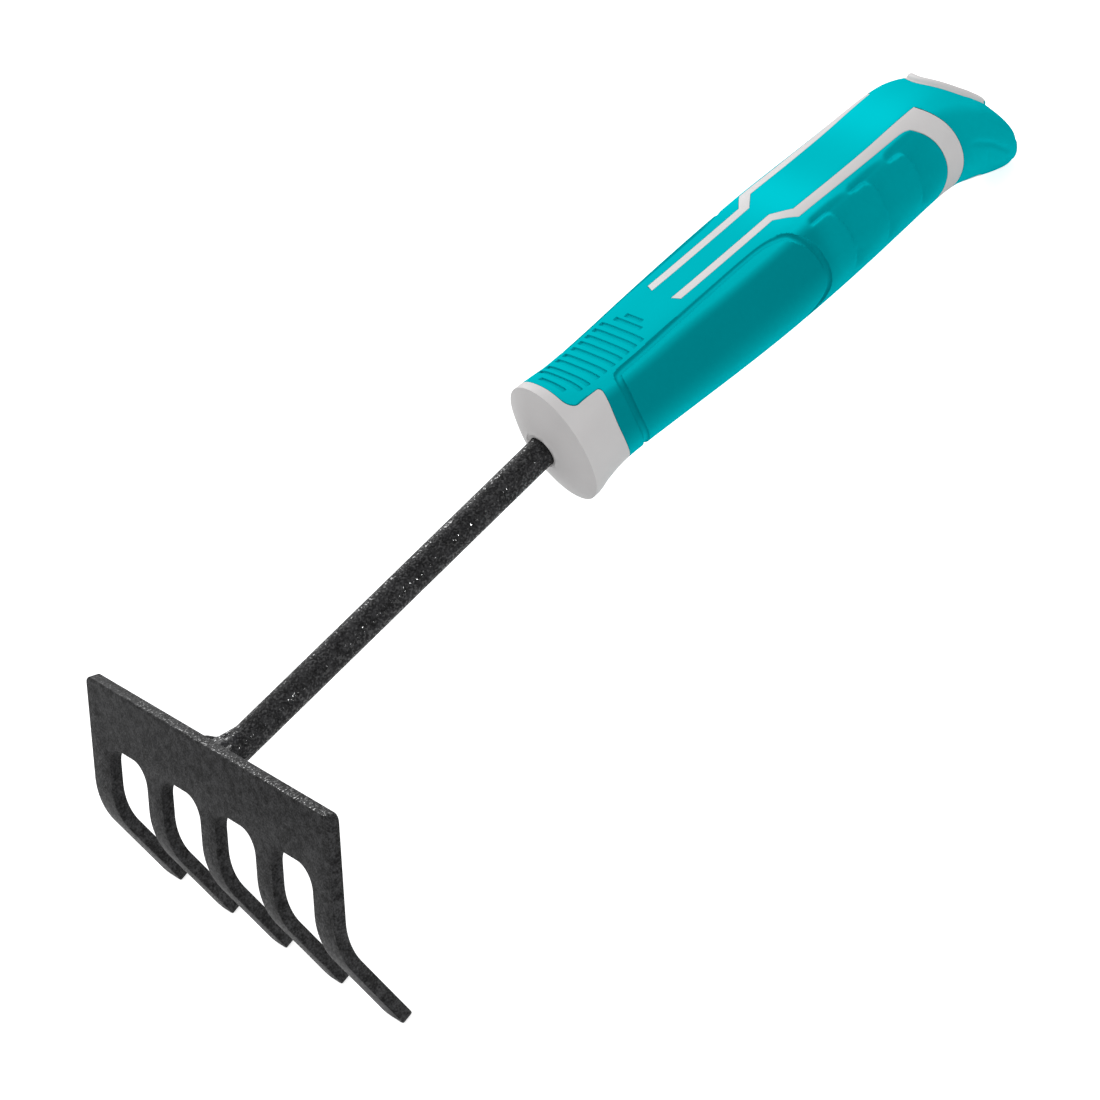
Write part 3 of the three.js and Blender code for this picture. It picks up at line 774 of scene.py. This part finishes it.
def soft_depth(places):
    depth = np.zeros(len(places))
    flank = ease(np.abs(places[:, 1]), flank_start, flank_end)
    profile = places[:, [0, 2]]
    for scallop in scallops:
        out, along = beside(profile, soften(scallop))
        fade = ease(along, 0.0, 0.12) * (1 - ease(along, 0.8, 1.0))
        hollow = scallop_depth * ease(out, -0.15, 0.4) * (1 - ease(out, 0.5, scallop_reach)) * fade * flank
        hollow *= 1 - ease(places[:, 2], 9.6, 11.2)
        depth = np.maximum(depth, hollow)
    out, along = beside(profile, soften(crease))
    fade = ease(along, 0.0, 0.25) * (1 - ease(along, 0.75, 1.0))
    depth += crease_depth * np.exp(-(out / crease_width) ** 2) * fade * flank
    aside, up = beside_hole(places[:, 0], places[:, 2])
    radius = np.hypot(aside, places[:, 1])
    swell = lip_round * np.clip(1 - ((radius - lip_radius) / lip_round) ** 2, 0, 1) ** 0.5
    upper = ease(up, -9, -5)
    return depth - upper * swell


print(len(scallops), "scallops", scallop_depth, "mm deep, lip", lip_round, "mm proud")

# %% [markdown]
# The grid's faces are nearly half a millimetre wide, which is too coarse for the lip's small
# round. So the faces there are subdivided first, and then all points move at once.

# %% Grip: pressing them in
def near_lip(face):
    """True for the faces round the upper mouth of the hang hole."""
    place = face.calc_center_median() / mm
    aside, up = beside_hole(place.x, place.z)
    return up > -7 and 5.8 < math.hypot(aside, place.y) < 9.8


activate(skin_body)
bpy.ops.object.mode_set(mode="EDIT")
pick(skin_body, near_lip, "FACE")
bpy.ops.mesh.subdivide(number_cuts=2)
bpy.ops.object.mode_set(mode="OBJECT")
places = read_places(skin_body) / mm
normals = np.array([vert.normal for vert in skin_body.data.vertices])
places -= normals * soft_depth(places)[:, None]
skin_body.data.vertices.foreach_set("co", (places * mm).ravel())
skin_body.data.update()
print("scallops, crease and lip pressed in")

# %% [markdown]
# Grey plastic shows through the rubber in five places: the collar, two lines along the crown, a
# band at the rear and the liner of the hang hole. The knife tool would draw such borders by hand,
# but it needs a window. So each place is a block that cuts right through the skin. The same
# blocks, a hair larger, cut the rubber, which leaves a fine dark seam.

# %% Grip: tools for cutting blocks
beyond = 60


def prism(name, outline, low, high, upright):
    """A flat outline, filled and extruded. Upright ones stand on the s-y plane."""
    deselect()
    bpy.ops.mesh.primitive_circle_add(vertices=len(outline), radius=1, fill_type="NGON")
    block = start(name)
    for vert, (a, b) in zip(block.data.vertices, outline):
        vert.co = Vector((a, b, low) if upright else (a, low, b)) * mm
    bpy.ops.object.mode_set(mode="EDIT")
    bpy.ops.mesh.select_all(action="SELECT")
    lift = (high - low) * mm
    way = (0, 0, lift) if upright else (0, lift, 0)
    bpy.ops.mesh.extrude_region_move(TRANSFORM_OT_translate={"value": way})
    bpy.ops.mesh.select_all(action="SELECT")
    bpy.ops.mesh.normals_make_consistent(inside=False)
    bpy.ops.object.mode_set(mode="OBJECT")
    return block


def arc(x, y, radius, start_angle, end_angle, steps):
    angles = [start_angle + (end_angle - start_angle) * step / steps for step in range(steps + 1)]
    return [(x + radius * math.cos(angle), y + radius * math.sin(angle)) for angle in angles]


print("block tools ready")

# %% [markdown]
# The borders are drawn in the handle's frame. The collar's rear edge is drawn on the side view,
# a little bowed. Its notch, which the ribbed rubber fills, is drawn on the top view, and its
# corners are short arcs, as the edges of a steel mould are.

# %% Grip: block for the collar
collar_length = 11.0


def collar_block(grow):
    """The collar's block, less that of its notch. All blocks grow by the same hair."""
    edge, half, first, corner, easing = collar_length + grow, 9.5 - grow, 2.5 + grow, 2.4, 0.8
    bow_middle, bow_half, waist, bow, steps = 0.8, 8.8, 10.1, 0.9, 24
    levels = [-12 + 22 * step / steps for step in range(steps + 1)]
    curve = [(waist + grow + bow * ((level - bow_middle) / bow_half) ** 2, level) for level in levels]
    outline = [(-beyond, -beyond), (curve[0][0], -beyond)] + curve + [(edge, beyond), (-beyond, beyond)]
    block = prism("collar_block", outline, -beyond, beyond, False)
    notch = [(beyond, half + easing)]
    notch += arc(edge - easing, half + easing, easing, 0, -math.pi / 2, 6)
    notch += arc(first + corner, half - corner, corner, math.pi / 2, math.pi, 8)
    notch += arc(first + corner, corner - half, corner, math.pi, 1.5 * math.pi, 8)
    notch += arc(edge - easing, -half - easing, easing, math.pi / 2, 0, 6) + [(beyond, -half - easing)]
    combine(block, prism("notch_block", notch, 2, 70, True), "DIFFERENCE")
    return block


print("the collar ends", collar_length, "mm behind the rim")

# %% [markdown]
# Two lines run along the crown. Each starts slanted, jogs outwards and meets the band in a fillet,
# which a few points draw well enough at this size. The band is drawn on the side view, where both
# of its edges are arcs about one middle.

# %% Grip: blocks for the lines and the band
line_start, slant_end, jog_start, jog_end, line_end = 39.4, 40.2, 69.2, 73.2, 113.9
inner_jog_start, inner_jog_end, inner_end = 70.4, 74.4, 113.6
fillet = [(105.6, 0.0), (107.0, 0.15), (108.7, 0.5), (110.4, 1.2), (line_end, 1.2)]


def line_block(side, grow):
    """The line on one side, 1 or -1."""
    front, rear, front_half, rear_half = 4.6, 8.85, 1.2, 1.4
    front_in, front_out = front - front_half - grow, front + front_half + grow
    rear_in, rear_out = rear - rear_half - grow, rear + rear_half + grow
    outline = [(line_start - grow, front_in), (slant_end - grow, front_out),
               (jog_start, front_out), (jog_end, rear_out)]
    outline += [(s, rear_out + out) for s, out in fillet]
    outline += [(inner_end, rear_in), (inner_jog_end, rear_in), (inner_jog_start, front_in)]
    return prism("line_block", [(s, side * y) for s, y in outline], 4, 50, True)


def band_block(grow):
    """The band at the rear, between two arcs of the side view."""
    middle, radius, band, overlap = (98, -0.5), 15.3, 5.0, math.radians(13)
    inner, outer, spread = radius - grow, radius + band + grow, grow / radius
    low_angle, high_angle = math.radians(-75) - spread, math.radians(39) + spread
    outline = arc(*middle, outer, low_angle, high_angle, 48)
    outline += arc(*middle, inner, high_angle + overlap, low_angle, 52)
    return prism("band_block", outline, -40, 40, False)


print("lines from", line_start, "to", line_end, "mm")

# %% [markdown]
# The hang hole's liner is a ring of grey plastic in the rubber. Its block widens a little towards
# the upper mouth, where more of it shows than below.

# %% Grip: block for the hang hole
liner_radius, liner_taper = 8.9, 4.8


def hole_block(radius, taper=0.0):
    """A round block along the hang hole, with the radius at its centre. A taper widens it upwards."""
    deselect()
    bpy.ops.mesh.primitive_cone_add(vertices=96, radius1=(radius - taper) * mm, radius2=(radius + taper) * mm,
                                    depth=2 * beyond * mm, rotation=(0, hole_lean, 0),
                                    location=(hole_centre[0] * mm, 0, hole_centre[1] * mm))
    block = start("hole_block")
    lay(block, Matrix.Identity(4))
    return block


def grey_blocks(grow):
    return [collar_block(grow), line_block(1, grow), line_block(-1, grow), band_block(grow),
            hole_block(liner_radius + grow, liner_taper)]


print("the liner's block is", liner_radius, "mm in radius")

# %% [markdown]
# The hard core is one moulding: a thinner copy of the grip, with a raised part wherever grey
# shows. A raised part is what the skin and a cutting block have in common, so its outside is the
# skin itself and lies flush with the rubber. Then the hang hole and the bar's bore are drilled.

# %% Grip: the hard core
core_inset, hole_radius = 2.2, 6.7
bore_radius, bore_length, bore_middle = 3.62, 190, 80


def copy_piece(piece, name):
    copy = piece.copy()
    copy.data = piece.data.copy()
    bpy.context.collection.objects.link(copy)
    copy.name = copy.data.name = name
    return copy


def bore():
    deselect()
    bpy.ops.mesh.primitive_cylinder_add(vertices=96, radius=bore_radius * mm, depth=bore_length * mm,
                                        location=(bore_middle * mm, 0, 0), rotation=(0, math.radians(90), 0))
    block = start("bore_block")
    lay(block, handle_place.inverted() @ tool_place)
    return block


core = roll_skin("handle_core_detail", core_inset, 90, 96)
for block in grey_blocks(0.0):
    shown = copy_piece(skin_body, "shown")
    combine(shown, block, "INTERSECT")
    combine(core, shown, "UNION")
combine(core, hole_block(hole_radius), "DIFFERENCE")
combine(core, bore(), "DIFFERENCE")
print("core:", count(core), "triangles")

# %% [markdown]
# The rubber is what is left of the skin: its inside is taken out, and so is every place where
# grey shows. A wall could be given by a modifier as well, but taking a thinner copy out keeps the
# inside smooth under the scallops.

# %% Grip: the rubber skin
rubber_wall, seam = 2.1, 0.12
rubber = copy_piece(skin_body, "grip_overmold_detail")
combine(rubber, roll_skin("inside", rubber_wall, 90, 96), "DIFFERENCE")
for block in grey_blocks(seam):
    combine(rubber, block, "DIFFERENCE")
print("rubber:", count(rubber), "triangles")

# %% [markdown]
# Behind the collar the thumb rests on ribs, and what is pressed in is a row of narrow pockets.
# A bump in the material would be quicker, but the pockets show in the outline of the ribs. Each
# one starts as a block, and a thinner copy of the grip is taken out of the block, so that every
# pocket ends half a millimetre under the skin, wherever it lies.

# %% Grip: rib pockets
pocket_walls = [5.6, 8.3, 10.5, 13.3, 15.5, 18.0, 20.2, 22.4, 24.7, 26.9, 29.4, 31.3]
pocket_ends = [(-5.9, 2.7)] + [(-7.8, 7.3)] * 9 + [(-4.8, 4.8), (-3.0, 3.0)]
pocket_width, pocket_height, pocket_level, pocket_corner, pocket_depth = 1.2, 12, 14, 0.25, 0.5
thinner = roll_skin("thinner_grip", pocket_depth, 120, 160)
for wall, (near, far) in zip(pocket_walls, pocket_ends):
    deselect()
    bpy.ops.mesh.primitive_cube_add(
        size=1, location=((wall - pocket_width / 2) * mm, (near + far) / 2 * mm, pocket_level * mm),
        scale=(pocket_width * mm, (far - near) * mm, pocket_height * mm))
    pocket = start("pocket_block")
    lay(pocket, Matrix.Identity(4))
    bpy.ops.object.mode_set(mode="EDIT")
    pick(pocket, lambda edge: abs(edge.verts[0].co.z - edge.verts[1].co.z) > pocket_height / 2 * mm, "EDGE")
    bpy.ops.mesh.bevel(offset=pocket_corner * mm, segments=2, affect="EDGES")
    bpy.ops.object.mode_set(mode="OBJECT")
    combine(pocket, thinner, "DIFFERENCE", keep=True)
    combine(rubber, pocket, "DIFFERENCE")
bpy.data.objects.remove(thinner)
print("rubber with pockets:", count(rubber), "triangles")

# %% [markdown]
# A channel runs round each palm pad: along the shoulder, round the pad's rear end, under the
# belly and back up in front. An inset of the faces would follow the grid's rows, not this path.
# So it is cut by a round cord that lies on the skin. The cord is a curve with a bevel, turned into
# a mesh, and each of its points is first dropped onto the nearest spot of the skin.

# %% Grip: pad channel
cord_radius, cord_rise = 0.95, 0.25
pad_edge = [(17.0, 0.0, -13.0), (16.8, 5.0, -12.0), (16.2, 9.5, -8.0), (15.35, 12.0, -2.6),
            (15.15, 12.4, 1.5), (15.2, 12.2, 5.0), (15.4, 11.5, 8.0), (15.9, 10.3, 9.8), (17.3, 9.6, 10.3),
            (24.0, 9.7, 10.6), (34.0, 9.8, 11.1), (46.0, 9.8, 11.6), (56.0, 9.8, 11.8), (62.0, 10.1, 11.8),
            (66.6, 11.2, 10.8), (68.8, 12.4, 9.3), (70.9, 13.4, 6.6), (72.2, 13.9, 2.6), (72.7, 13.9, -1.7),
            (72.2, 13.1, -6.0), (70.3, 11.9, -8.8), (67.0, 9.8, -11.0), (63.5, 6.0, -13.5),
            (62.0, 0.0, -15.0)]
mirrored = [(s, -y, t) for s, y, t in pad_edge[-2:0:-1]]
ring_path = soften(pad_edge + mirrored + pad_edge[:1], 10)[:-1]
cord_data = bpy.data.curves.new("pad_cord", "CURVE")
cord_data.dimensions = "3D"
cord_data.bevel_depth = cord_radius * mm
cord_data.bevel_resolution = 4
spline = cord_data.splines.new("POLY")
spline.points.add(len(ring_path) - 1)
spline.use_cyclic_u = True
for point, place in zip(spline.points, ring_path):
    _, spot, normal, _ = skin_body.closest_point_on_mesh(Vector(place) * mm)
    point.co = (*(spot + normal * cord_rise * mm), 1)
cord = bpy.data.objects.new("pad_cord", cord_data)
bpy.context.collection.objects.link(cord)
activate(cord)
bpy.ops.object.convert(target="MESH")
cord = start("pad_cord")
combine(rubber, cord, "DIFFERENCE")
bpy.data.objects.remove(skin_body)
print("rubber with channel:", count(rubber), "triangles")

# %% [markdown]
# The rubber's colour carries painted light and shade. Painted shade deepens the flanks and the
# pads, less towards the rear and the butt, and the crown stays lighter. The belly keeps a painted
# bounce of light, and two painted highlights lie on the crown. That share could be painted on by
# hand. Worked out from each point's normal and place, it follows every later change of shape. It
# is kept on the mesh, where the material reads it.

# %% Grip: painted shade in the rubber's colour
painted_highlight_middles, painted_highlight_reach, crown_painted_shade = (76, 107), 9, 0.26


def mark_painted_shade(piece):
    """Painted shade on the flanks and pads, less towards the rear. The belly stays light, a
    painted bounce of light. Two painted highlights lie on the crown, where it bends.
    """
    places = read_places(piece) / mm
    normals = np.array([vert.normal for vert in piece.data.vertices])
    # Painted shade: faces turned away from the top get the deep tone, and faces turned down keep a painted
    # bounce of light.
    side = 1 - ease(normals[:, 2], 0.25, 0.9)
    under = ease(-normals[:, 2], -0.1, 0.75)
    rear = ease(places[:, 0], 71, 78)
    butt = ease(places[:, 0], 108, 122)
    share = side * (1 - 0.95 * under) * (1 - 0.3 * rear) * (1 - 0.3 * butt)
    # Two painted highlights on the crown; elsewhere the crown takes a little painted shade.
    light = sum(np.exp(-((places[:, 0] - middle) / painted_highlight_reach) ** 2) for middle in painted_highlight_middles)
    share = np.maximum(share, crown_painted_shade * (1 - light) * (1 - under))
    layer = piece.data.attributes.new("flank", "FLOAT", "POINT")
    layer.data.foreach_set("value", share.astype(np.float32))


mark_painted_shade(rubber)
print("colour marked on", len(rubber.data.vertices), "points")

# %% [markdown]
# Both parts of the handle were made in the handle's own frame, where their sizes are simple. Now
# their meshes are moved to their place in the rake, and each takes over from its CAD node.

# %% Grip: on its place
for piece, material, slot, node in ((core, grey_plastic, "grey_plastic", "handle_core"),
                                    (rubber, teal_rubber, "teal_rubber", "grip_overmold")):
    lay(piece, handle_place)
    smooth(piece, 35)
    piece.data.materials.clear()
    piece.data.materials.append(material)
    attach(piece, "root")
    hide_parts(node)
print("grip placed")

# %% [markdown]
# The rake lies in a white studio. A plain white floor would come out grey next to the sky. So it
# glows a little, but only for the camera and faintly in reflections. To all other light it is
# plain white, and it still takes a soft shadow.

# %% Floor
deselect()
bpy.ops.mesh.primitive_plane_add(size=6)
floor = start("floor")
floor_material, tree, shader, place = new_material("white_floor")
shader.inputs["Base Color"].default_value = (0.8, 0.8, 0.8, 1)
shader.inputs["Roughness"].default_value = 0.9
path = tree.nodes.new("ShaderNodeLightPath")
glow = add_node(tree, "ShaderNodeEmission", Strength=0.75)
unlit = add_node(tree, "ShaderNodeEmission", Strength=0.0)
total = tree.nodes.new("ShaderNodeAddShader")
choose = tree.nodes.new("ShaderNodeMixShader")
seen = add_node(tree, "ShaderNodeMath", operation="MULTIPLY_ADD")
seen.inputs[1].default_value = 0.3
tree.links.new(path.outputs["Is Glossy Ray"], seen.inputs[0])
tree.links.new(path.outputs["Is Camera Ray"], seen.inputs[2])
tree.links.new(seen.outputs[0], choose.inputs["Fac"])
tree.links.new(unlit.outputs[0], choose.inputs[1])
tree.links.new(glow.outputs[0], choose.inputs[2])
tree.links.new(choose.outputs[0], total.inputs[0])
tree.links.new(shader.outputs[0], total.inputs[1])
tree.links.new(total.outputs[0], tree.nodes["Material Output"].inputs["Surface"])
floor.data.materials.append(floor_material)
print("floor ready")

# %% [markdown]
# The light comes from a soft sky, bright above and beyond the rake and dimmer on the near side, so
# that the grip's top is light and its flank deep, as in the photograph; painted shade in the
# rubber's colour deepens the flank further. A ring of lamps could do the same with more to
# balance. Two small lamps add the glints: a soft one from beyond, and a narrow one from the near
# side that picks out the specks of the coat.

# %% Sky and lamps
world = bpy.data.worlds.new("studio")
bpy.context.scene.world = world
world.use_nodes = True
tree = world.node_tree
background = tree.nodes["Background"]
place = tree.nodes.new("ShaderNodeTexCoord")
toward = add_node(tree, "ShaderNodeVectorMath", operation="DOT_PRODUCT")
toward.inputs[1].default_value = Vector((0.1, 0.6, 0.8)).normalized()
tree.links.new(place.outputs["Generated"], toward.inputs[0])
level = tree.nodes.new("ShaderNodeMapRange")
level.inputs["From Min"].default_value = -0.5
level.inputs["From Max"].default_value = 0.9
level.inputs["To Min"].default_value = 0.22
level.inputs["To Max"].default_value = 1.02
tree.links.new(toward.outputs["Value"], level.inputs["Value"])
tree.links.new(level.outputs[0], background.inputs["Strength"])
background.inputs["Color"].default_value = (1, 1, 1, 1)
lamp_target = Vector((0, 0, 0.03))


def add_lamp(name, location, size, energy):
    """A round lamp that looks at the rake. Its energy is in watts."""
    data = bpy.data.lights.new(name, "AREA")
    data.shape = "DISK"
    data.size = size
    data.energy = energy
    lamp = bpy.data.objects.new(name, data)
    bpy.context.collection.objects.link(lamp)
    lamp.location = location
    lamp.rotation_euler = (lamp_target - lamp.location).to_track_quat("-Z", "Y").to_euler()


add_lamp("soft_lamp", (0.4, 0.8, 0.4), 0.3, 1.8)
add_lamp("near_lamp", (0.14, -0.94, 0.32), 0.06, 1.6)
print("studio ready")
